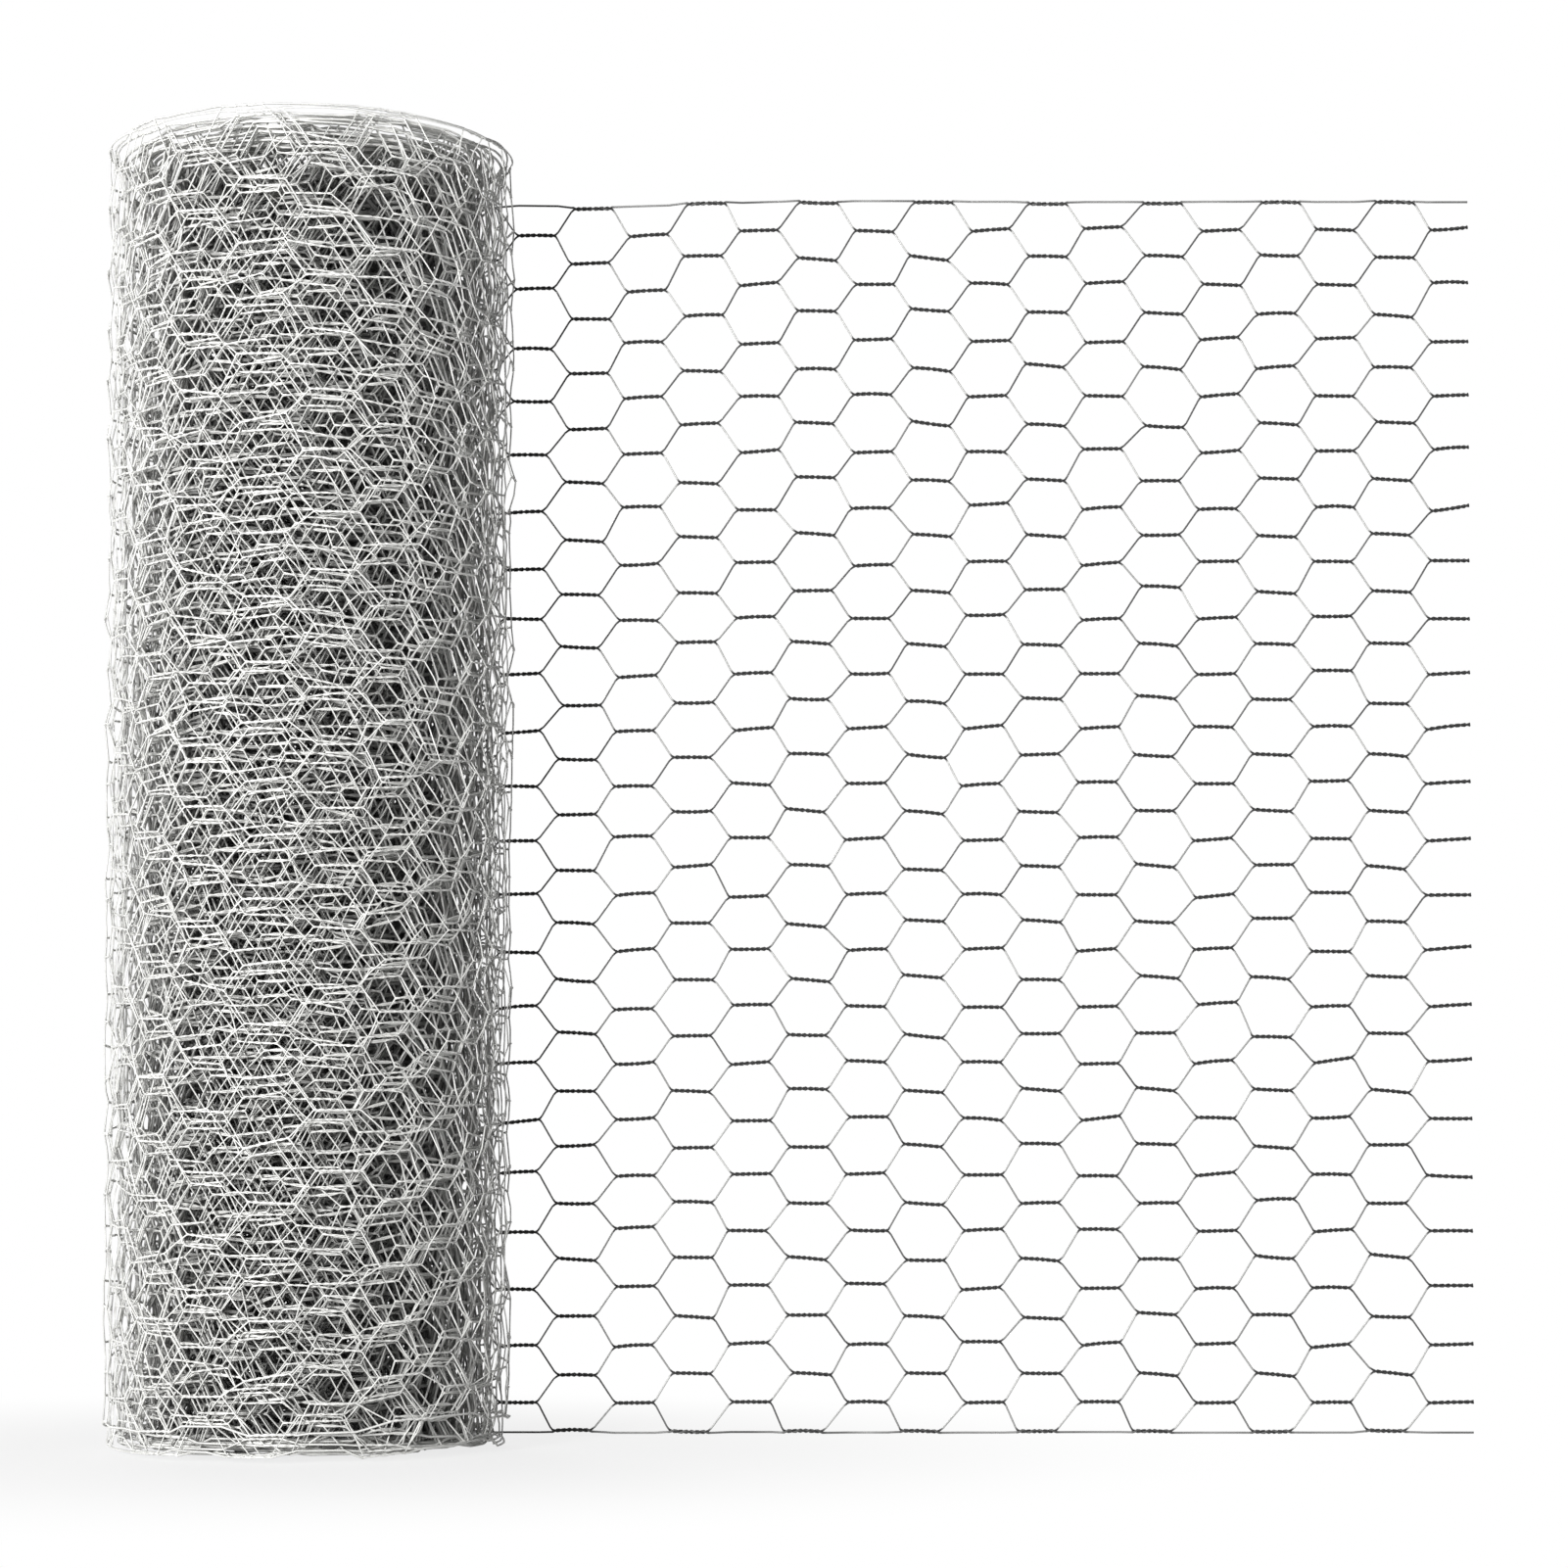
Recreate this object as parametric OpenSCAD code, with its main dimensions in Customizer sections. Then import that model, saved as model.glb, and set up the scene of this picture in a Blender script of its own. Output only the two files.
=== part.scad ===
// A roll of hexagonal wire netting that stands on its end, with its outer end unrolled.
// Millimetres, +Z up. The origin is on the roll's axis, at floor level. The unrolled stretch
// leaves the back of the roll, on the +Y side, and runs along +X, standing on its lower edge.

/* [Netting] */
// Width of the netting from edge to edge, which is also the height of the roll
netting_w = 600; // [400:1:900]
// Number of openings across the width
openings_across = 22; // [14:1:30]
// Distance along the netting from one column of twists to the next
column_pitch = 28.2; // [25:0.1:36]
// Length of one twist, along the netting
twist_len = 19; // [12:0.5:22]
// Diameter of the wire
wire_d = 0.9; // [0.7:0.05:1.2]
// Diameter of the straight wire along each edge
edge_wire_d = 1; // [0.95:0.05:1.2]

/* [Roll] */
// Diameter over the outermost turn
roll_d = 190; // [170:1:260]
// Diameter over the turns that are still wound tightly
tight_d = 132; // [110:1:150]
// Diameter of the hollow in the middle
bore_d = 60; // [40:1:80]
// Thickness that each tight turn takes up
tight_turn = 1.65; // [1.3:0.05:2.4]
// Thickness that each loose outer turn takes up
loose_turn = 1.8; // [1.5:0.1:5]
// Depth of the gaps that part the turns on each end
end_gap_depth = 6; // [3:0.5:12]

/* [Unrolled stretch] */
// Length from the line where the netting leaves the roll to its cut end
stretch_len = 555; // [300:1:900]
// Clearance between the stretch and the outermost turn
leave_gap = 0.3; // [0.1:0.05:0.6]

/* [Hidden] */
$fn = 96;

// How far a cut runs past the face that it opens
overrun = 1;

// The roll's turns, counted to fill their share of the roll's wall
roll_r = roll_d / 2;
tight_r = tight_d / 2;
bore_r = bore_d / 2;
tight_turns = round((tight_r - bore_r) / tight_turn);
loose_turns = round((roll_r - tight_r) / loose_turn);
tight_step = (tight_r - bore_r) / tight_turns;
loose_step = (roll_r - tight_r - edge_wire_d) / loose_turns;

// One twist is a pair of wires wound round each other
twist_d = 2 * wire_d;

// One opening is a hexagon, with a twist above and below and two slanting wires at each side
row_pitch = (netting_w - twist_d) / openings_across;
rise = row_pitch / 2;
run = column_pitch - twist_len;
slant = sqrt(rise * rise + run * run);
opening_tip = twist_len / 2 + run - wire_d * slant / (2 * rise);
opening_flat = twist_len / 2 - wire_d * (slant - run) / (2 * rise);
opening_half_h = rise - wire_d / 2;

// The stretch starts where its inner face clears the outermost turn, and is made in two lengths
stretch_start = sqrt(pow(roll_r + leave_gap, 2) - pow(roll_r - twist_d, 2));
last_column = ceil((stretch_len - stretch_start) / column_pitch);
middle_column = floor(last_column / 2);
stretch_middle = column_x(middle_column);

// Middle of a column of twists, counted back from the cut end
function column_x(column) = stretch_len - twist_len / 2 - column * column_pitch;

// Every second column has a twist on both edges: 1 for such a column, 0 for the others
function on_edge(column) = column % 2;

// Height of the middle of a row, counted from the lower edge
function row_z(row) = twist_d / 2 + row * row_pitch;

// Half section of the wound netting, with its turns parted by gaps at both ends
module roll_section() {
    difference() {
        translate([bore_r, 0])
            square([roll_r - bore_r, netting_w]);
        for (end_z = [-overrun, netting_w - end_gap_depth]) {
            for (turn = [0:tight_turns - 1])
                translate([bore_r + turn * tight_step + edge_wire_d, end_z])
                    square([tight_step - edge_wire_d, end_gap_depth + overrun]);
            for (turn = [0:loose_turns - 1])
                translate([tight_r + turn * loose_step + edge_wire_d, end_z])
                    square([loose_step - edge_wire_d, end_gap_depth + overrun]);
        }
    }
}

module opening() {
    polygon([
        [-opening_tip, 0],
        [-opening_flat, -opening_half_h],
        [opening_flat, -opening_half_h],
        [opening_tip, 0],
        [opening_flat, opening_half_h],
        [-opening_flat, opening_half_h]
    ]);
}

// All the openings of the stretch, closed off by the straight wires along both edges
module openings() {
    edge_z = (twist_d + edge_wire_d) / 2;
    intersection() {
        for (column = [0:last_column], row = [0:openings_across - on_edge(column)])
            translate([column_x(column), row_z(row + on_edge(column) / 2)])
                opening();
        translate([0, edge_z])
            square([stretch_len + overrun, netting_w - 2 * edge_z]);
    }
}

// The single wires between two places along the stretch
module wire_net(from_x, to_x) {
    edge_z = (twist_d - edge_wire_d) / 2;
    difference() {
        translate([from_x, edge_z])
            square([to_x - from_x, netting_w - 2 * edge_z]);
        openings();
    }
}

// The twists between two places along the stretch
module twists(from_x, to_x) {
    for (column = [0:last_column]) {
        left = max(from_x, column_x(column) - twist_len / 2);
        right = min(to_x, column_x(column) + twist_len / 2);
        if (right > left)
            for (row = [0:openings_across - 1 + on_edge(column)])
                translate([left, row_z(row + (1 - on_edge(column)) / 2) - twist_d / 2])
                    square([right - left, twist_d]);
    }
}

// A length of the netting, upright, with the outer side of its twists on the roll's back line
module netting_length(from_x, to_x) {
    translate([0, roll_r, 0])
        rotate([90, 0, 0]) {
            translate([0, 0, (twist_d - wire_d) / 2])
                linear_extrude(wire_d)
                    wire_net(from_x, to_x);
            linear_extrude(twist_d)
                twists(from_x, to_x);
        }
}

module wound_roll() {
    color([0.62, 0.61, 0.59])
        rotate_extrude()
            roll_section();
}

module unrolled_netting_near() {
    color([0.66, 0.66, 0.65])
        netting_length(stretch_start, stretch_middle);
}

module unrolled_netting_far() {
    color([0.70, 0.70, 0.69])
        netting_length(stretch_middle, stretch_len);
}

wound_roll();
unrolled_netting_near();
unrolled_netting_far();
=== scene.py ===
# %% [markdown]
# # A roll of chicken wire
#
# Chicken wire is one long net. Thin galvanised wires run side by side along its whole length, and each
# one is twisted first with the neighbour above it and then with the neighbour below it, which leaves
# hexagonal openings. Here the net is wound into a roll that stands on its end, and the last half metre
# is unrolled. The plain solids are loaded first. They give the sizes, and this lesson then puts the real
# wires, and every twist between them, in their place.

# %% Load the solids as the frame
import math

import bmesh
import bpy
import numpy as np
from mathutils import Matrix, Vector


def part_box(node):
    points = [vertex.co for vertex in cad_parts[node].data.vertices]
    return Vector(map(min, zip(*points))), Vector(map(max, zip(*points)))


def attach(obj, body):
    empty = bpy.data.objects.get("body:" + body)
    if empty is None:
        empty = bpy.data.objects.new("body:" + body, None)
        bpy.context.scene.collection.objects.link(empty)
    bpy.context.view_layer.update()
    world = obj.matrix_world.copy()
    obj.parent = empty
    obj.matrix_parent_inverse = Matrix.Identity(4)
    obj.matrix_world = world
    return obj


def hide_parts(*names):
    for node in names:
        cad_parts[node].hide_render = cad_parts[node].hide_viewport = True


MM = 0.001
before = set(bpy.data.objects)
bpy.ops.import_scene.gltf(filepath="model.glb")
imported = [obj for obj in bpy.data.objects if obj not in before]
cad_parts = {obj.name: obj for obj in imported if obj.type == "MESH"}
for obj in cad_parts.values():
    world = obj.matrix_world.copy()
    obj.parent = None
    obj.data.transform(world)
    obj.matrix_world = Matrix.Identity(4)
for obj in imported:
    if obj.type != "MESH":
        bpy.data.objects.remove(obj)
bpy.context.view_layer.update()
print("solids:", sorted(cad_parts))

# %% [markdown]
# The camera comes next, because it tells how much detail can be seen. It stands two metres away at a
# quarter of the roll's height, so the top rim curves up and the bottom rim curves down. Tilting it until
# the roll is centred would make the upright edges lean, so it is tilted only a little, and the lens
# shift does the rest.

# %% Camera
IMAGE_PX = 1601
FOCAL_PX = 4453.0
SENSOR_MM = 36.0
LENS_SHIFT = 0.121
TILT_UP = 1.893
CAMERA_AT = (220.8 * MM, -2025.3 * MM, 153.3 * MM)

camera_data = bpy.data.cameras.new("camera")
camera_data.sensor_width = SENSOR_MM
camera_data.lens = SENSOR_MM * FOCAL_PX / IMAGE_PX
camera_data.shift_y = LENS_SHIFT
camera = bpy.data.objects.new("camera", camera_data)
camera.location = CAMERA_AT
camera.rotation_euler = (math.radians(90 + TILT_UP), 0, 0)
bpy.context.scene.collection.objects.link(camera)
bpy.context.scene.camera = camera
print("lens", round(camera_data.lens, 1), "mm")

# %% [markdown]
# The net has the sizes of the solids. Its width is the height of the roll, and 22 openings share it. From
# one column of twists to the next is one column pitch, and the twist is the longer part of that. Shears
# have cut the net just inside its last column of twists.

# %% Sizes of the net
OPENINGS = 22
WIRES = 2 * OPENINGS + 2
COLUMN_PITCH = 28.2 * MM
TWIST_LEN = 19 * MM
CUT_OFF = 1.9 * MM
WIRE_R = 0.45 * MM
EDGE_R = 0.5 * MM
LOWER_EDGE = 1.35 * MM

NET_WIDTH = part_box("wound_roll")[1].z
far_low, far_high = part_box("unrolled_netting_far")
STRETCH = far_high.x
BACK_LINE = (far_low.y + far_high.y) / 2
ROW_PITCH = (NET_WIDTH - LOWER_EDGE) / OPENINGS
print("row pitch", round(ROW_PITCH / MM, 2), "mm, wires", WIRES)

# %% [markdown]
# Seen from above, the net is a straight line that becomes a spiral. Distance is counted along the net
# from its cut end. The spiral could be drawn with a curve tool, but its arc length is needed for every
# twist, so it is laid out as a fine table of points, and lengths are read from the table. Sixteen outer
# turns have sprung loose and bulge in and out a little. The turns inside them are still wound tightly.

# %% The way the net runs, seen from above
LOOSE_TURNS = 16
TIGHT_TURNS = 22
ALL_TURNS = LOOSE_TURNS + TIGHT_TURNS
TIGHT_R = 66 * MM
INNER_R = 31.5 * MM
POINTS_PER_TURN = 360
LONG_BULGE = 0.8 * MM
SHORT_BULGE = 0.5 * MM

turn = np.linspace(0, ALL_TURNS, ALL_TURNS * POINTS_PER_TURN + 1)
turn_r = np.interp(turn, [0, LOOSE_TURNS, ALL_TURNS], [BACK_LINE, TIGHT_R, INNER_R])
slack = np.interp(turn, [0, 0.2, 6, 14, ALL_TURNS], [0, 1, 1, 0.3, 0.1])
turn_r += slack * LONG_BULGE * np.sin(2 * np.pi * (1.37 * turn + 0.2))
turn_r += slack * SHORT_BULGE * np.sin(2 * np.pi * (3.18 * turn + 0.6))
angle = np.pi / 2 + 2 * np.pi * turn

path_x = np.append(STRETCH, turn_r * np.cos(angle))
path_y = np.append(BACK_LINE, turn_r * np.sin(angle))
path_turn = np.append(0, turn)
step_x = np.diff(path_x)
step_y = np.diff(path_y)
step = np.hypot(step_x, step_y)
heading_x = np.append(step_x / step, step_x[-1] / step[-1])
heading_y = np.append(step_y / step, step_y[-1] / step[-1])
print("net", round(step.sum(), 2), "m long")

# %% [markdown]
# Loose turns of a net hook into each other, so that their openings nearly line up, and the net gives a
# little to let them. Each loose turn is therefore given twenty columns, whatever its length. It may still
# drift by about half a column on its way round, and turns further in by up to a whole one.

# %% Columns that each turn takes up
COLUMNS_PER_TURN = 20
DRIFT_EVERY = 0.37

rng = np.random.default_rng(41)
drift_at = np.arange(0, ALL_TURNS + DRIFT_EVERY, DRIFT_EVERY)
most_drift = np.interp(drift_at, [0, 1, 8, 16], [0.3, 0.48, 0.56, 1])
drift = rng.uniform(-1, 1, drift_at.size) * most_drift
drift[0] = 0

nested_pitch = 2 * np.pi * turn_r / COLUMNS_PER_TURN
pitch = np.where(turn < LOOSE_TURNS, nested_pitch, COLUMN_PITCH)
pitch[0] = COLUMN_PITCH
path_along = np.append(0, np.cumsum(step * COLUMN_PITCH / pitch))
path_along[1:] += COLUMN_PITCH * np.interp(turn, drift_at, drift)
print("pitch of the loose turns", round(pitch.min() / MM, 1), "to", round(pitch.max() / MM, 1), "mm")

# %% [markdown]
# A roll that was wound by hand has uneven ends: each turn has slipped a few millimetres up or down, and
# between its ends the rows sway further. The heights of both edges are set once per quarter turn, and the
# sway once per half turn. They are smoothed, so that a wire rises and falls gently on its way round. The
# first three turns show most, so the heights of their edges are listed one by one.

# %% How far each turn has slipped
FINE_STEPS = 48
SMOOTHED_OVER = 19

quarter = np.arange(0, ALL_TURNS + 0.25, 0.25)
lower_slip = rng.uniform(0, 7, quarter.size)
upper_slip = rng.uniform(-9, 3, quarter.size)
lower_slip[:12] = [0, 8, 12, 14, 8, 3, 0, 2, 4, 2, 1, 3]
upper_slip[:12] = [0, 1, 4, 1, -2, 0, 6, 1, -3, -2, 3, 0]
half = np.arange(0, ALL_TURNS + 0.5, 0.5)
row_sway = rng.uniform(-1, 1, half.size) * np.interp(half, [0, 8, 16], [9, 10.5, 13])

fine_turn = np.linspace(0, ALL_TURNS, ALL_TURNS * FINE_STEPS + 1)
window = np.hanning(SMOOTHED_OVER) / np.hanning(SMOOTHED_OVER).sum()
starts_level = np.clip(fine_turn / 0.25, 0, 1)


def smooth_slip(knots, millimetres):
    """Heights on every 48th of a turn, without corners, which start level with the stretch."""
    dense = np.interp(fine_turn, knots, millimetres) * MM
    padded = np.pad(dense, SMOOTHED_OVER // 2, mode="edge")
    return np.convolve(padded, window, mode="valid") * starts_level


lower_edge = smooth_slip(quarter, lower_slip)
upper_edge = smooth_slip(quarter, upper_slip)
middle_rows = smooth_slip(half, row_sway)
print("lower edge slips up to", round(lower_edge.max() / MM, 1), "mm")

# %% [markdown]
# Every point of a wire is worked out on the flat net, as a distance along it, a height and a depth to one
# side. One function then carries it onto the path. A bend tool could wrap a finished mesh as well, but it
# knows a single radius, and a spiral has another one at every point. The rows sway fully everywhere but
# close to the ends, and the upper edge of the stretch dips a little beside the roll.

# %% From the flat net to the roll
DIP_AT = [0, STRETCH - 0.22, STRETCH - 0.12, STRETCH + 0.1]
DIP_MM = [1, 0.6, -2.4, 0]
SWAY_RISE = 3.2


def place(along, height, depth):
    """Points of the flat net, put where the wound net has them."""
    turns = np.interp(along, path_along, path_turn)
    share = height / NET_WIDTH
    lower = np.interp(turns, fine_turn, lower_edge)
    upper = np.interp(turns, fine_turn, upper_edge) + np.interp(along, DIP_AT, DIP_MM) * MM
    off_ends = np.clip(SWAY_RISE * np.sin(np.pi * np.clip(share, 0, 1)), 0, 1)
    sway = np.interp(turns, fine_turn, middle_rows) * off_ends
    toward_x = np.interp(along, path_along, heading_x)
    toward_y = np.interp(along, path_along, heading_y)
    x = np.interp(along, path_along, path_x) + depth * toward_y
    y = np.interp(along, path_along, path_y) - depth * toward_x
    z = height + lower * (1 - share) + upper * share + sway
    return np.stack([x, y, z], axis=-1)


print("upper corner of the cut end", place(0.0, NET_WIDTH, 0.0).round(3), "m")

# %% [markdown]
# In the flat net, column 0 is at the cut end. In every odd column wire 0 is twisted with wire 1, wire 2
# with wire 3, and so on. In every even column the pairs are 1 with 2, 3 with 4, and so on, so the first and
# the last wire run straight past it: they are the two edge wires. No two twists of a real net are alike, so
# each gets a small shift and tilt of its own, and the twists of a column also lean together. Winding has
# bent the netting in the roll more than that of the stretch. The twists on the lower edge sit a little
# nearer to the roll, and none of them goes below the floor.

# %% Small differences between the twists
COLUMNS = int((path_along[-1] - TWIST_LEN) / COLUMN_PITCH)
PAIRS = OPENINGS + 1
ROUGH_ROLL = 2.1
ALONG_SPREAD = 0.55
HEIGHT_SPREAD = 0.7
CALM_EDGE = 0.45
EDGE_LAG = 2 * MM
MEAN_TILT = 0.005
COLUMN_TILT = 0.035
COLUMN_TILT_SPREAD = 0.012
TILT_SPREAD = 0.035
EDGE_TILT = 0.3

each_twist = (COLUMNS + 1, PAIRS)
column = np.arange(COLUMNS + 1)[:, None]
rough = np.interp(column * COLUMN_PITCH, [STRETCH, STRETCH + 0.2], [1, ROUGH_ROLL])
shift_along = rng.normal(0, ALONG_SPREAD, each_twist) * rough * MM
shift_height = rng.normal(0, HEIGHT_SPREAD, each_twist) * rough * MM
shift_height[:, -1:] *= CALM_EDGE
shift_height[:, :1] = np.abs(shift_height[:, :1]) * np.interp(rough, [1, 1.8], [CALM_EDGE, 2])
shift_along[1::2, 0] += EDGE_LAG
column_tilt = MEAN_TILT - COLUMN_TILT * (-1) ** column
column_tilt = column_tilt + rng.normal(0, COLUMN_TILT_SPREAD, (COLUMNS + 1, 1))
tilt = column_tilt + rng.normal(0, TILT_SPREAD, each_twist) * rough
tilt[:, [0, -1]] *= EDGE_TILT
print(COLUMNS, "columns of twists")

# %% [markdown]
# The single wires between the twists bow a little, and some have dulled more than others. The edge wires
# have dulled in patches. In the roll a twist also sits a little further in or out than its neighbours,
# which makes the outline of the roll wavy.

# %% Small differences along the wires
PATCH_LEN = 14 * MM
BOW_SPREAD = 0.35
DULLED_SPREAD = 0.22
SAG_SPREAD = 0.18
MOST_PALE = 0.9
DEPTH_SPREAD = 0.7

each_slant = (COLUMNS + 1, WIRES)
bow = rng.normal(0, BOW_SPREAD, each_slant) * MM
dulled = rng.normal(0, DULLED_SPREAD, each_slant)
sag = rng.normal(0, SAG_SPREAD, each_twist) * MM
patch_at = np.arange(0, STRETCH, PATCH_LEN)
patch_pale = rng.uniform(0, MOST_PALE, patch_at.size)
shift_depth = rng.normal(0, DEPTH_SPREAD, each_twist) * np.interp(rough, [1, 1.8], [0, 1]) * MM
print("a single wire bows up to", round(np.abs(bow).max() / MM, 2), "mm")

# %% [markdown]
# The stretch was pulled out by hand, so its columns aren't upright: the lower half of each is nearer to the
# roll, and beside the roll the uppermost rows lean away from it. Some rows also stand higher than an even
# spacing would put them. These are tables by row, because the whole stretch shares them.

# %% Middle of each twist
LEAN_AT = [0, 0.5, 0.62, 0.75, 1]
LEAN_MM = [4.4, 4.8, 3.4, 1.6, 0]
RISE_AT = [0, 2, 4, 11, 15, 20, 21, 21.5]
RISE_MM = [0, 1.6, 2.3, 2.0, 0.4, 0.4, 0.8, 0]
BESIDE_ROLL = [STRETCH - 0.22, STRETCH - 0.1, STRETCH, STRETCH + 0.1]
TOP_ROWS = [16, 22]
TOP_LEAN_MM = [0, 4.5]


def twist_middles(columns):
    """Middle, depth, tilt, sag and side of each wire's twist in each column, and 1 if there is a twist."""
    wire = np.arange(WIRES)[:, None]
    even = (1 - columns % 2)[None, :]
    passes = (even == 1) & ((wire == 0) | (wire == WIRES - 1))
    pair = np.where(passes, wire // 2, (wire - even) // 2)
    row = np.where(passes, pair, pair + 0.5 * even)
    twist_of = (columns[None, :], pair)

    along = TWIST_LEN / 2 - CUT_OFF + columns * COLUMN_PITCH + shift_along[twist_of]
    along += np.interp(row / OPENINGS, LEAN_AT, LEAN_MM) * MM
    beside = np.interp(columns * COLUMN_PITCH, BESIDE_ROLL, [0, 1, 1, 0])
    along -= beside * np.interp(row, TOP_ROWS, TOP_LEAN_MM) * MM
    height = LOWER_EDGE + row * ROW_PITCH + shift_height[twist_of]
    height += np.interp(row, RISE_AT, RISE_MM) * MM

    inward = np.where(passes, 0, shift_depth[twist_of])
    lean = np.where(passes, 0, tilt[twist_of])
    bend = np.where(passes, 0, sag[twist_of])
    side = np.where((wire - even) % 2 == 0, -1, 1)
    side = np.where(wire == 0, -1, np.where(wire == WIRES - 1, 1, side))
    return along, height, inward, lean, bend, side, 1 - passes


first_middle = twist_middles(np.arange(1))[0].mean()
print("first column of twists", round(first_middle / MM, 1), "mm from the cut end")

# %% [markdown]
# A machine winds both wires of a pair at once, from the middle outwards, so the turns run one way in the
# first half of a twist and the other way in the second half. That makes a point of the wire a simple
# function of how far along the twist it is. The pairs of the stretch are wound a little wider than they
# have to be, and those of the roll are drawn closer.

# %% The wires in their twists
WIDE_PAIR = 1.25
CLOSE_PAIR = 0.8


def twist_points(middles, steps, turns_each_half):
    """Points of every wire in every twist."""
    along, height, inward, lean, bend, side, joins = middles
    part_way = np.linspace(0, 1, steps + 1)
    off_middle = 2 * part_way - 1
    wound = joins * 2 * np.pi * turns_each_half * (1 - np.abs(off_middle))
    pair_r = side * WIRE_R * np.where(along < STRETCH, WIDE_PAIR, CLOSE_PAIR)
    starts = np.where(along < COLUMN_PITCH / 2, 0, along - TWIST_LEN / 2)
    ends = along + TWIST_LEN / 2
    middle_line = height + lean * off_middle * TWIST_LEN / 2 + bend * (1 - off_middle ** 2)
    return np.stack([
        starts + part_way * (ends - starts),
        middle_line + pair_r * np.cos(wound),
        inward + pair_r * np.sin(wound),
    ], axis=-1)


print("a pair is", round(2 * WIRE_R * (1 + WIDE_PAIR) / MM, 2), "mm thick in the stretch")

# %% [markdown]
# A slant between two twists is nearly straight, with a short bend at each end. Each point also gets a mark
# for the finish: 0 in a twist, 0.3 where an edge wire runs past a column, and on a slant anything from just
# above 0 to 1, where it is palest. On a slant the mark is partly random dulling and partly painted light by
# slope: slants that rise towards the roll are palest in the upper rows, and slants that fall in the lower
# ones.

# %% Middle lines of the wires
BEND_AT = np.array([0.14, 0.86])
BEND_EASED = np.array([0.10, 0.90])
BOW_IN_DEPTH = 0.6
PAST_COLUMN = 0.3
LEAST_MARK = 0.01
MEAN_PALE = 0.5
PAINTED_LIGHT_SLOPE = 1.1
EVEN_AT = 0.35


def wire_lines(first, last, twist_steps, slant_steps, turns_each_half):
    """Points along every wire from column first to column last, with their marks."""
    middles = [part[..., None] for part in twist_middles(np.arange(first, last + 1))]
    twist = twist_points(middles, twist_steps, turns_each_half)
    leave = twist[:, :-1, -1:]
    enter = twist[:, 1:, :1]
    across = np.arange(1, slant_steps) / slant_steps
    eased = across
    if slant_steps == 3:
        across = BEND_AT
        eased = BEND_EASED
    slant = leave + (enter - leave) * np.stack([across, eased, eased], axis=1)
    bulge = bow[first:last].T[:, :, None] * np.sin(np.pi * across)
    slant[..., 0] += bulge
    slant[..., 2] += BOW_IN_DEPTH * bulge
    points = np.concatenate([twist[:, :-1], slant], axis=2).reshape(WIRES, -1, 3)
    points = np.concatenate([points, twist[:, -1, :1]], axis=1)

    rises = np.sign(enter[..., 1] - leave[..., 1])
    share = leave[..., 1] / NET_WIDTH
    # Painted light by the slope of the slant, with random dulling added.
    pale = MEAN_PALE + PAINTED_LIGHT_SLOPE * rises * (share - EVEN_AT) + dulled[first:last].T[..., None]
    on_slant = np.repeat(LEAST_MARK + np.clip(pale, 0, 1), slant_steps - 1, axis=2)
    joins = middles[-1][:, :-1]
    in_twist = np.repeat(PAST_COLUMN * (1 - joins), twist_steps + 1, axis=2)
    marks = np.concatenate([in_twist, on_slant], axis=2).reshape(WIRES, -1)
    return points, np.concatenate([marks, np.zeros((WIRES, 1))], axis=1)


one_column = wire_lines(0, 1, twist_steps=16, slant_steps=3, turns_each_half=1.75)[0]
print("a wire of the stretch has", one_column.shape[1] - 1, "points in each column")

# %% [markdown]
# A middle line becomes a wire when a small circle is swept along it. A curve object with a bevel would do
# that too, but Geometry Nodes keep what is stored on the points, such as the number of the wire, and the
# finish of the wire needs that. The result is applied, so that each piece ends up as a plain mesh.

# %% A small circle swept along each middle line
def wire_sweep(sides):
    """Node group that turns edges into round wires with that many sides."""
    group = bpy.data.node_groups.new(f"wire_sweep_{sides}", "GeometryNodeTree")
    group.interface.new_socket("Lines", in_out="INPUT", socket_type="NodeSocketGeometry")
    group.interface.new_socket("Wires", in_out="OUTPUT", socket_type="NodeSocketGeometry")
    nodes = group.nodes
    link = group.links.new
    lines_in = nodes.new("NodeGroupInput")
    wires_out = nodes.new("NodeGroupOutput")
    to_curve = nodes.new("GeometryNodeMeshToCurve")
    circle = nodes.new("GeometryNodeCurvePrimitiveCircle")
    circle.inputs["Resolution"].default_value = sides
    circle.inputs["Radius"].default_value = 1.0
    number = nodes.new("GeometryNodeInputIndex")
    around = nodes.new("GeometryNodeStoreNamedAttribute")
    around.data_type = "FLOAT"
    around.inputs["Name"].default_value = "around"
    thickness = nodes.new("GeometryNodeInputNamedAttribute")
    thickness.data_type = "FLOAT"
    thickness.inputs["Name"].default_value = "thickness"
    sweep = nodes.new("GeometryNodeCurveToMesh")
    sweep.inputs["Fill Caps"].default_value = True
    smooth = nodes.new("GeometryNodeSetShadeSmooth")
    link(lines_in.outputs["Lines"], to_curve.inputs["Mesh"])
    link(circle.outputs["Curve"], around.inputs["Geometry"])
    link(number.outputs["Index"], around.inputs["Value"])
    link(to_curve.outputs["Curve"], sweep.inputs["Curve"])
    link(around.outputs["Geometry"], sweep.inputs["Profile Curve"])
    link(thickness.outputs["Attribute"], sweep.inputs["Scale"])
    link(sweep.outputs["Mesh"], smooth.inputs["Geometry"])
    link(smooth.outputs["Geometry"], wires_out.inputs["Wires"])
    return group


sweeps = {sides: wire_sweep(sides) for sides in (3, 4, 5)}
print("sweeps for wires with", sorted(sweeps), "sides")


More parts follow.
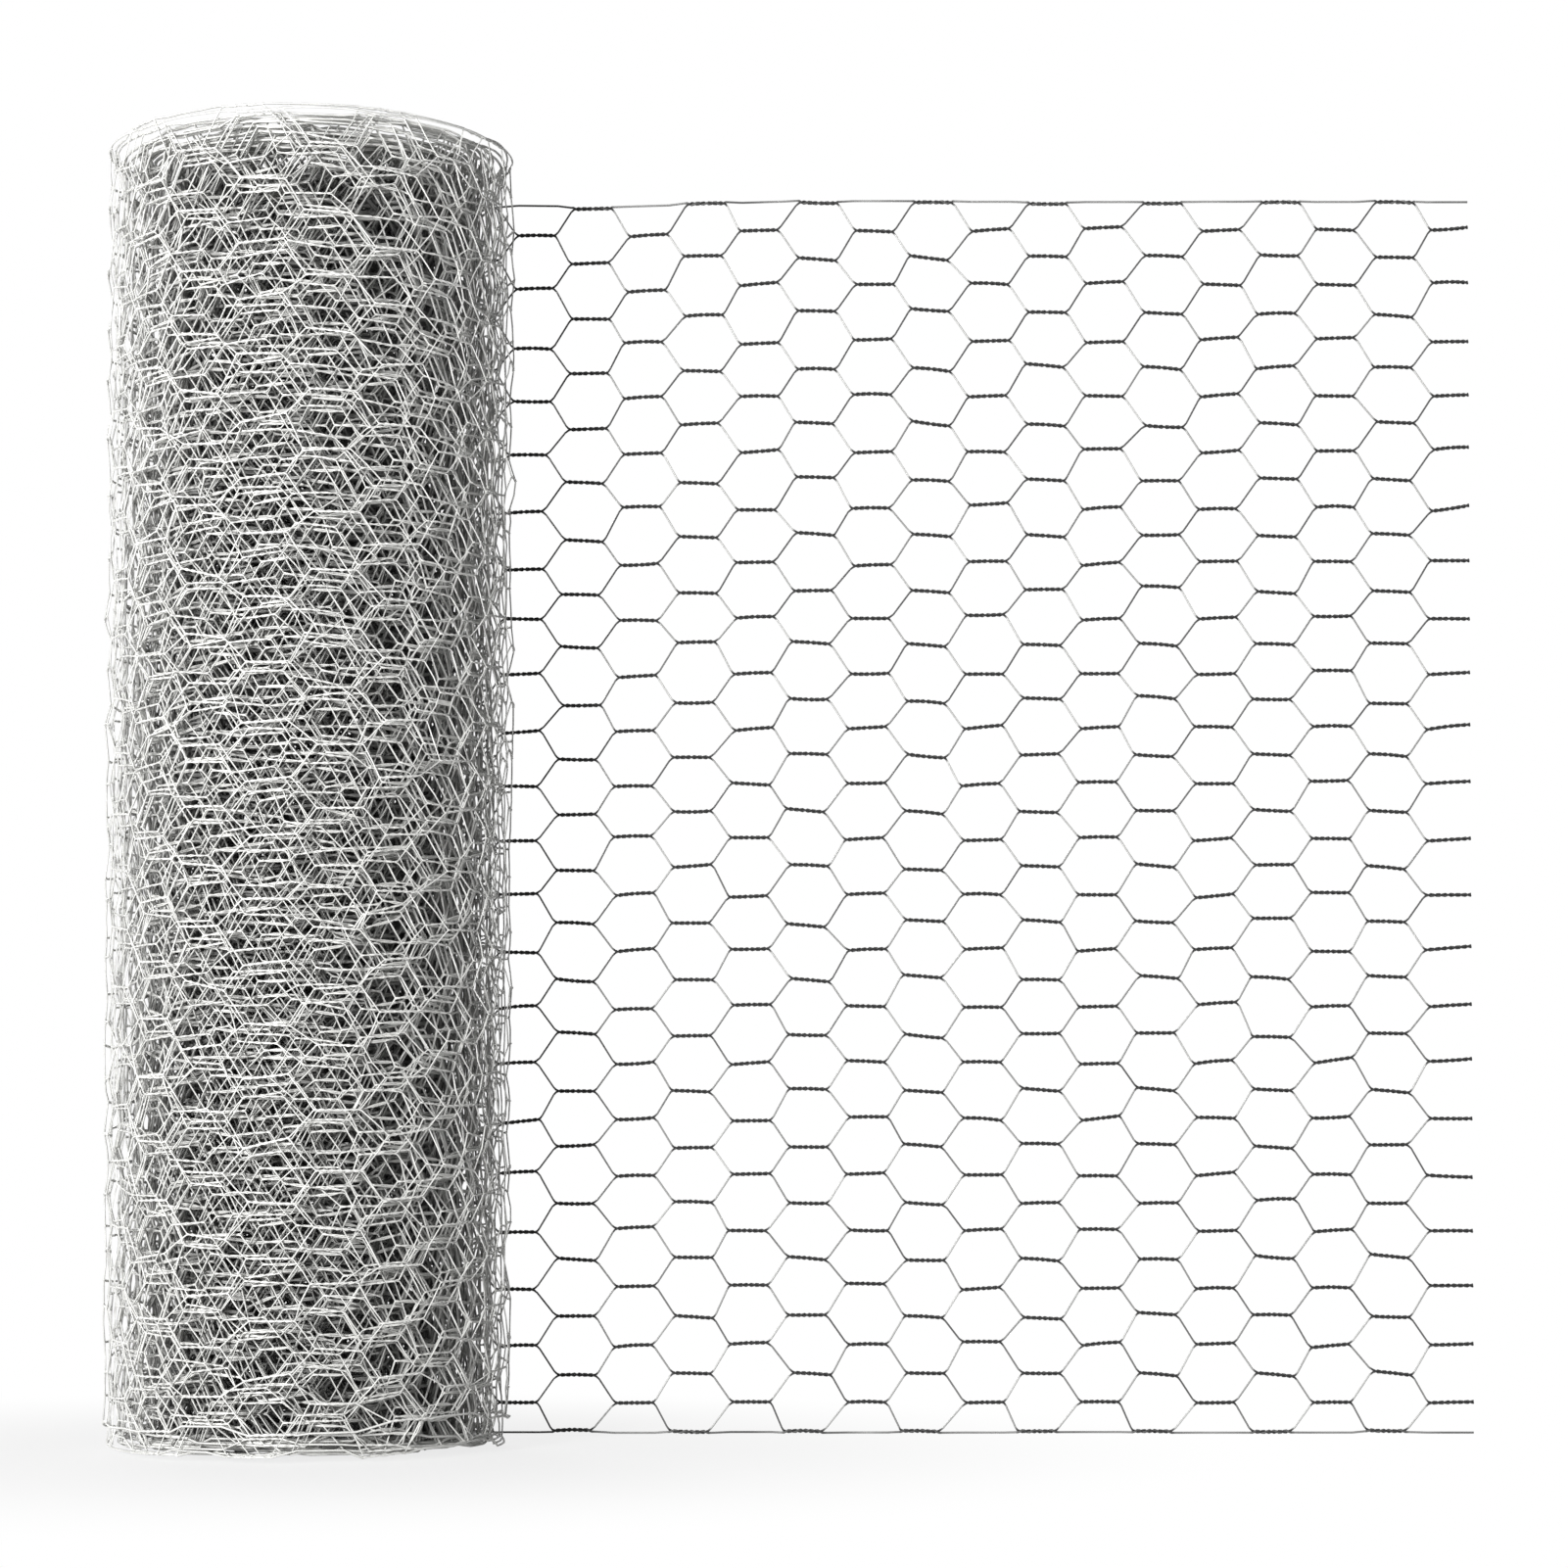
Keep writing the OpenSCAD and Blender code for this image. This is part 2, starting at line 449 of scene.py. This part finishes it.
# %% Middle lines turned into a mesh
def swept_mesh(name, points, joined, stored, sides):
    """Plain mesh of the wires along those points, with the stored numbers on it."""
    lines = bpy.data.meshes.new(name + "_lines")
    lines.vertices.add(len(points))
    lines.vertices.foreach_set("co", points.astype(np.float32).ravel())
    lines.edges.add(len(joined))
    lines.edges.foreach_set("vertices", np.stack([joined, joined + 1], axis=-1).ravel())
    for label, numbers in stored.items():
        attribute = lines.attributes.new(label, "FLOAT", "POINT")
        attribute.data.foreach_set("value", numbers.astype(np.float32))

    maker = bpy.data.objects.new(name + "_lines", lines)
    bpy.context.scene.collection.objects.link(maker)
    modifier = maker.modifiers.new("sweep", "NODES")
    modifier.node_group = sweeps[sides]
    depsgraph = bpy.context.evaluated_depsgraph_get()
    mesh = bpy.data.meshes.new_from_object(maker.evaluated_get(depsgraph), depsgraph=depsgraph)
    mesh.name = name
    bpy.data.objects.remove(maker)
    bpy.data.meshes.remove(lines)
    return mesh


# %% [markdown]
# The finish needs a flat map to be painted on. Each wire gets its own narrow strip of that map: the length
# of the wire runs one way and its girth the other. The face that closes the girth would stretch back over
# the whole strip, so its low corners are moved up by one full girth.

# %% A strip of the flat map for each wire
STRIP_MARGIN = 0.05


def lay_out_strips(mesh, sides):
    """Writes the flat map for the finish, one strip per wire."""
    corners = np.empty(len(mesh.loops), int)
    mesh.loops.foreach_get("vertex_index", corners)
    starts = np.empty(len(mesh.polygons), int)
    mesh.polygons.foreach_get("loop_start", starts)
    totals = np.empty(len(mesh.polygons), int)
    mesh.polygons.foreach_get("loop_total", totals)
    values = {}
    for name in ("along", "strip", "around"):
        stored = np.empty(len(mesh.vertices), np.float32)
        mesh.attributes[name].data.foreach_get("value", stored)
        values[name] = stored[corners]
    along = values["along"]
    girth = values["around"] / sides
    spread = np.maximum.reduceat(girth, starts) - np.minimum.reduceat(girth, starts)
    length = np.maximum.reduceat(along, starts) - np.minimum.reduceat(along, starts)
    closing = np.repeat((spread > 0.5) & (length > 0), totals)
    girth[closing & (girth < 0.5)] += 1
    u = (along - along.min()) / (along.max() - along.min())
    v = (values["strip"] + STRIP_MARGIN + (1 - 2 * STRIP_MARGIN) * girth) / WIRES
    strips = mesh.uv_layers.new(name="OFBake")
    strips.data.foreach_set("uv", np.stack([u, v], axis=-1).astype(np.float32).ravel())


print("a strip takes up", round(1 / WIRES, 4), "of the map")

# %% [markdown]
# A wire with few sides is thinner than a round one, so its corners are moved out until its girth is that of
# the round wire. The outer turns of the roll are drawn with finer wire than the stretch, so that the turns
# behind them show as well. Towards the middle the wire gets thicker, until no light comes through the core.
# The edge wires of the roll and the twists of the stretch are a little heavier too.

# %% How thick each wire is
THICK_AT = [0, 0.3, 2, 5, 10, 18]
THICK_SHARES = [1, 0.72, 0.74, 0.98, 1.1, 1.35]
HEAVY_TWIST = 1.15
HEAVY_EDGE = 1.25


def wire_thickness(turns, on_edge, in_twist, sides):
    """Radius of the wire at each point."""
    girth_share = math.pi / (sides * math.sin(math.pi / sides))
    thickness = np.where(on_edge, EDGE_R, WIRE_R) * girth_share
    thickness *= np.interp(turns, THICK_AT, THICK_SHARES)
    thickness *= np.where(in_twist & (turns == 0), HEAVY_TWIST, 1)
    thickness *= np.where(on_edge & (turns > 0), HEAVY_EDGE, 1)
    return thickness


radii = wire_thickness(np.array([0.0, 1.0, 18.0]), False, False, 4) / MM
print("wire radius", radii.round(2), "mm in the stretch, the second turn and the core")

# %% [markdown]
# The finish differs from place to place, so four numbers are stored on the points for it. The stretch, seen
# against a white wall, is the same zinc wire drawn in painted shade: twists nearly black, single wires grey
# or pale, with painted light on some slants by the way they slope. The roll is bright zinc, and painted
# shade darkens it towards the middle. That shade stands in for the shade the turns there cast more deeply
# than this mesh can. It stops at the upper end, where painted light lifts the wires of every turn. The
# change from the stretch to the roll is gradual.

# %% What the finish needs to know
# The stretch is drawn in painted shade, and here it gives way to the lit zinc of the roll.
SHADED_TO_LIT = [STRETCH - 0.09, STRETCH + 0.08]
# Painted shade of the roll by turn: 1 leaves the zinc as it is, 0.2 darkens it most.
PAINTED_SHADE_AT = [0, 2, 4, 7, 10, 14, 22]
PAINTED_SHADE_FACTORS = [1.0, 1.0, 0.94, 0.84, 0.66, 0.42, 0.2]
# Painted light near the upper end of every turn, over this band.
END_BAND = 14 * MM
END_PAINTED_LIGHT = 0.9
# Painted shade on the edge wires of the stretch, in a twist and elsewhere.
EDGE_TWIST_SHADE = 0.75
EDGE_SHADE = 0.35


def finish_numbers(flat, marks, turns, on_edge):
    """How dark, pale, unrolled and bright the wire is at each point, in painted shade and painted light."""
    in_twist = marks == 0
    edge_shade = np.where(in_twist, EDGE_TWIST_SHADE, EDGE_SHADE)
    edge_pale = np.interp(flat[:, 0], patch_at, patch_pale)
    near_end = 1 - np.clip((NET_WIDTH - flat[:, 1]) / END_BAND, 0, 1)
    return {
        # twisted, pale and unrolled set the painted shade of the stretch; unrolled is 1 on the stretch.
        "twisted": np.where(on_edge, edge_shade, in_twist),
        "pale": np.where(on_edge, edge_pale, np.clip(marks, 0, 1)),
        "unrolled": np.interp(flat[:, 0], SHADED_TO_LIT, [1, 0]),
        # Painted shade towards the middle of the roll, lifted by painted light near its upper end.
        "painted_shade_factor": np.maximum(np.interp(turns, PAINTED_SHADE_AT, PAINTED_SHADE_FACTORS), END_PAINTED_LIGHT * near_end),
    }


print("tone falls from", PAINTED_SHADE_FACTORS[0], "to", PAINTED_SHADE_FACTORS[-1])

# %% [markdown]
# A piece is all the wires between two columns. Cutting the net into pieces across its length keeps each
# piece small enough to export whole, and lets each have as much detail as can be seen of it.

# %% One piece of the net
def make_net(name, first, last, twist_steps, slant_steps, turns_each_half, sides):
    """All the wires from column first to column last, as one plain mesh."""
    wires, marks = wire_lines(first, last, twist_steps, slant_steps, turns_each_half)
    flat = wires.reshape(-1, 3)
    marks = marks.ravel()
    strip = np.repeat(np.arange(WIRES), wires.shape[1])
    on_edge = (strip == 0) | (strip == WIRES - 1)
    turns = np.interp(flat[:, 0], path_along, path_turn)
    stored = finish_numbers(flat, marks, turns, on_edge)
    stored["thickness"] = wire_thickness(turns, on_edge, marks == 0, sides)
    stored["along"] = flat[:, 0]
    stored["strip"] = strip
    joined = np.flatnonzero(np.diff(strip) == 0)
    mesh = swept_mesh(name, place(*flat.T), joined, stored, sides)
    lay_out_strips(mesh, sides)

    piece = bpy.data.objects.new(name, mesh)
    bpy.context.scene.collection.objects.link(piece)
    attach(piece, "root")
    print(name, "has", sum(len(face.vertices) - 2 for face in mesh.polygons), "triangles")
    return piece


# %% [markdown]
# The unrolled stretch and the outermost turn are seen one wire at a time, so their wires get more sides
# and every turn of the twists. Further in, the wires only show through the gaps of the turns in front of
# them, and a three-sided wire with fewer turns in its twists looks the same from there. Each detail below
# holds the steps in a twist, the steps in a slant, the turns in each half of a twist and the sides of the
# wire.

# %% The pieces, from the cut end to the middle of the roll
MIDDLE_COLUMN = 9
STRETCH_DETAIL = (16, 3, 1.75, 5)
OUTER_DETAIL = (12, 2, 1.5, 4)
LOOSE_DETAIL = (6, 2, 1.0, 3)
INNER_DETAIL = (3, 1, 0.75, 3)


def column_at(turns):
    """First column past a number of turns."""
    return int(np.interp(turns, turn, path_along[1:]) / COLUMN_PITCH)


leaving = column_at(0)
second = column_at(1)
fifth = column_at(4)
nested = np.linspace(fifth, column_at(LOOSE_TURNS), 3).astype(int)
inner = np.linspace(nested[-1], COLUMNS, 4).astype(int)

net_far = make_net("net_far", 0, MIDDLE_COLUMN, *STRETCH_DETAIL)
net_near = make_net("net_near", MIDDLE_COLUMN, leaving, *STRETCH_DETAIL)
outer_turn = make_net("outer_turn", leaving, second, *OUTER_DETAIL)
loose_turns = make_net("loose_turns", second, fifth, *LOOSE_DETAIL)
nested_turns = [
    make_net(f"nested_turns_{k + 1}", nested[k], nested[k + 1], *INNER_DETAIL)
    for k in range(2)
]
inner_turns = [
    make_net(f"inner_turns_{k + 1}", inner[k], inner[k + 1], *INNER_DETAIL)
    for k in range(3)
]
roll_pieces = [outer_turn, loose_turns] + nested_turns + inner_turns
net_pieces = [net_far, net_near] + roll_pieces

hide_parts("unrolled_netting_far")
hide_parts("unrolled_netting_near")
for piece in roll_pieces:
    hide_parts("wound_roll")
print(len(net_pieces), "pieces of net")

# %% [markdown]
# The wire is dipped in zinc. Fresh zinc is a pale, slightly warm grey with a soft shine, mottled where it
# has dulled, with fine drips that a bump shows. A mottled colour could be painted by hand, but noise on the
# object's own coordinates gives it at once and at the right scale. The four stored numbers then choose
# between two versions of the same wire. One is the bright zinc of the roll, with painted shade towards its
# middle. The other is the painted shade of the stretch, where the wire is drawn from grey to nearly black.

# %% Colour of the zinc
FACTOR = 0
FIRST = 6
SECOND = 7
MIXED = 2
ZINC_DULL = (0.72, 0.72, 0.70, 1)
ZINC_FRESH = (0.90, 0.90, 0.875, 1)
# Painted shade of the stretch: nearly black twists, and single wires from grey to pale.
TWIST_SHADED = (0.035, 0.035, 0.035, 1)
SINGLE_SHADED_GREY = (0.10, 0.10, 0.10, 1)
SINGLE_SHADED_PALE = (0.58, 0.58, 0.57, 1)


def stored_number(nodes, name):
    """Node that reads one of the numbers on the wire."""
    reader = nodes.new("ShaderNodeAttribute")
    reader.attribute_name = name
    return reader


def colour_mix(nodes, first=None, second=None):
    """Mix node for colours."""
    mix = nodes.new("ShaderNodeMix")
    mix.data_type = "RGBA"
    if first:
        mix.inputs[FIRST].default_value = first
    if second:
        mix.inputs[SECOND].default_value = second
    return mix


def zinc_colour(nodes, link, mottle):
    """Colour of the wire, from the bright roll to the stretch drawn in painted shade."""
    zinc = nodes.new("ShaderNodeValToRGB")
    zinc.color_ramp.elements[0].position = 0.35
    zinc.color_ramp.elements[0].color = ZINC_DULL
    zinc.color_ramp.elements[1].position = 0.65
    zinc.color_ramp.elements[1].color = ZINC_FRESH
    link(mottle.outputs["Fac"], zinc.inputs["Fac"])
    # The zinc of the roll is darkened by its painted shade.
    depth_shaded = colour_mix(nodes)
    depth_shaded.blend_type = "MULTIPLY"
    depth_shaded.inputs[FACTOR].default_value = 1.0
    link(zinc.outputs["Color"], depth_shaded.inputs[FIRST])
    link(stored_number(nodes, "painted_shade_factor").outputs["Color"], depth_shaded.inputs[SECOND])

    # Painted shade of the stretch: single wires grey to pale, twists nearly black.
    single = colour_mix(nodes, SINGLE_SHADED_GREY, SINGLE_SHADED_PALE)
    link(stored_number(nodes, "pale").outputs["Fac"], single.inputs[FACTOR])
    dark = colour_mix(nodes, second=TWIST_SHADED)
    link(stored_number(nodes, "twisted").outputs["Fac"], dark.inputs[FACTOR])
    link(single.outputs[MIXED], dark.inputs[FIRST])

    # The stretch takes its painted shade in place of the roll's zinc.
    colour = colour_mix(nodes)
    link(stored_number(nodes, "unrolled").outputs["Fac"], colour.inputs[FACTOR])
    link(depth_shaded.outputs[MIXED], colour.inputs[FIRST])
    link(dark.outputs[MIXED], colour.inputs[SECOND])
    return colour.outputs[MIXED]


print("zinc from", ZINC_DULL[:3], "to", ZINC_FRESH[:3])

# %% Galvanised wire
MOTTLE_SCALE = 90
DRIP_SCALE = 700
DRIP_HEIGHT = 0.4 * MM


def noise(nodes, link, coordinates, scale, detail):
    """Noise on the object's own coordinates."""
    texture = nodes.new("ShaderNodeTexNoise")
    texture.inputs["Scale"].default_value = scale
    texture.inputs["Detail"].default_value = detail
    link(coordinates.outputs["Object"], texture.inputs["Vector"])
    return texture


def galvanised_wire():
    """Zinc with mottled colour and shine, and a bump of fine drips."""
    material = bpy.data.materials.new("galvanised_wire")
    material.use_nodes = True
    nodes = material.node_tree.nodes
    link = material.node_tree.links.new
    shader = nodes["Principled BSDF"]
    shader.inputs["Metallic"].default_value = 0.05
    shader.inputs["Specular IOR Level"].default_value = 0.2
    coordinates = nodes.new("ShaderNodeTexCoord")
    mottle = noise(nodes, link, coordinates, MOTTLE_SCALE, detail=4)
    link(zinc_colour(nodes, link, mottle), shader.inputs["Base Color"])

    roughness = nodes.new("ShaderNodeMapRange")
    roughness.inputs["To Min"].default_value = 0.35
    roughness.inputs["To Max"].default_value = 0.6
    link(mottle.outputs["Fac"], roughness.inputs["Value"])
    link(roughness.outputs["Result"], shader.inputs["Roughness"])

    drips = noise(nodes, link, coordinates, DRIP_SCALE, detail=3)
    bump = nodes.new("ShaderNodeBump")
    bump.inputs["Strength"].default_value = 0.4
    bump.inputs["Distance"].default_value = DRIP_HEIGHT
    link(drips.outputs["Fac"], bump.inputs["Height"])
    link(bump.outputs["Normal"], shader.inputs["Normal"])
    return material


zinc_finish = galvanised_wire()
for piece in net_pieces:
    piece.data.materials.append(zinc_finish)
print("finish:", zinc_finish.name)

# %% [markdown]
# The floor and the background are plain white, as on a studio table. A white floor could be had with more
# light, but that would bleach the zinc too. So the rays that come straight from the camera, from a shiny
# surface or through glass see white, and all other rays see a matt floor. Near the roll part of the matt
# floor is left in view, because it carries the shadow.

# %% Rays that see white
def white_rays(nodes, link):
    """1 for the rays that see the background directly, in a mirror or through glass."""
    rays = nodes.new("ShaderNodeLightPath")
    seen = nodes.new("ShaderNodeMath")
    seen.operation = "MAXIMUM"
    link(rays.outputs["Is Camera Ray"], seen.inputs[0])
    link(rays.outputs["Is Glossy Ray"], seen.inputs[1])
    through = nodes.new("ShaderNodeMath")
    through.operation = "MAXIMUM"
    link(seen.outputs[0], through.inputs[0])
    link(rays.outputs["Is Transmission Ray"], through.inputs[1])
    return through.outputs[0]


# %% White floor
FLOOR_HALF = 4.0
FLOOR_MATT = (0.9, 0.9, 0.9, 1)
SHADOW_FROM = 0.08
SHADOW_TO = 0.45
WHITE_NEAR = 0.8


def white_floor():
    """Matt white that shows its shadow near the roll and is pure white further away."""
    material = bpy.data.materials.new("white_floor")
    material.use_nodes = True
    nodes = material.node_tree.nodes
    link = material.node_tree.links.new
    nodes.remove(nodes["Principled BSDF"])
    matt = nodes.new("ShaderNodeBsdfDiffuse")
    matt.inputs["Color"].default_value = FLOOR_MATT
    bright = nodes.new("ShaderNodeEmission")
    both = nodes.new("ShaderNodeMixShader")
    spot = nodes.new("ShaderNodeTexCoord")
    reach = nodes.new("ShaderNodeVectorMath")
    reach.operation = "LENGTH"
    whiter = nodes.new("ShaderNodeMapRange")
    whiter.interpolation_type = "SMOOTHSTEP"
    whiter.inputs["From Min"].default_value = SHADOW_FROM
    whiter.inputs["From Max"].default_value = SHADOW_TO
    whiter.inputs["To Min"].default_value = WHITE_NEAR
    whiter.inputs["To Max"].default_value = 1.0
    share = nodes.new("ShaderNodeMath")
    share.operation = "MULTIPLY"
    link(spot.outputs["Object"], reach.inputs[0])
    link(reach.outputs["Value"], whiter.inputs["Value"])
    link(whiter.outputs["Result"], share.inputs[1])
    link(white_rays(nodes, link), share.inputs[0])
    link(share.outputs[0], both.inputs[0])
    link(matt.outputs[0], both.inputs[1])
    link(bright.outputs[0], both.inputs[2])
    link(both.outputs[0], nodes["Material Output"].inputs["Surface"])
    return material


floor_mesh = bpy.data.meshes.new("floor")
shape = bmesh.new()
bmesh.ops.create_grid(shape, x_segments=1, y_segments=1, size=FLOOR_HALF)
shape.to_mesh(floor_mesh)
shape.free()
floor_mesh.materials.append(white_floor())
floor = bpy.data.objects.new("floor", floor_mesh)
bpy.context.scene.collection.objects.link(floor)
print("floor", 2 * FLOOR_HALF, "m wide")

# %% [markdown]
# The background is white in the same way, and gives the object itself next to no light. One soft lamp stands
# in front, a little to the left, so the right side of the roll falls into shade. The middle, dark from real
# shadow and from painted shade, shows through the openings. A second, larger one behind keeps the back from
# going black.

# %% White background
AMBIENT = 0.02
WHITE = (1, 1, 1, 1)


def white_background():
    """World that looks white and lights next to nothing."""
    world = bpy.data.worlds.new("studio")
    world.use_nodes = True
    nodes = world.node_tree.nodes
    link = world.node_tree.links.new
    ambient = nodes["Background"]
    ambient.inputs["Color"].default_value = WHITE
    ambient.inputs["Strength"].default_value = AMBIENT
    white = nodes.new("ShaderNodeBackground")
    white.inputs["Color"].default_value = WHITE
    both = nodes.new("ShaderNodeMixShader")
    link(white_rays(nodes, link), both.inputs[0])
    link(ambient.outputs[0], both.inputs[1])
    link(white.outputs[0], both.inputs[2])
    link(both.outputs[0], nodes["World Output"].inputs["Surface"])
    return world


bpy.context.scene.world = white_background()
print("background:", bpy.context.scene.world.name)

# %% Lamps
LAMPS_AIM = (0.1, 0, 0.3)


def soft_lamp(name, lamp_at, size, watts):
    """Round lamp that is aimed at the object."""
    data = bpy.data.lights.new(name, "AREA")
    data.shape = "DISK"
    data.size = size
    data.energy = watts
    lamp = bpy.data.objects.new(name, data)
    lamp.location = lamp_at
    direction = Vector(LAMPS_AIM) - Vector(lamp_at)
    lamp.rotation_euler = direction.to_track_quat("-Z", "Y").to_euler()
    bpy.context.scene.collection.objects.link(lamp)
    print(name, "lamp", watts, "W")


soft_lamp("key", lamp_at=(-0.85, -2.33, 0.45), size=0.6, watts=84)
soft_lamp("back", lamp_at=(-0.80, 2.30, 1.1), size=1.4, watts=36)
bpy.context.scene.view_settings.view_transform = "Standard"
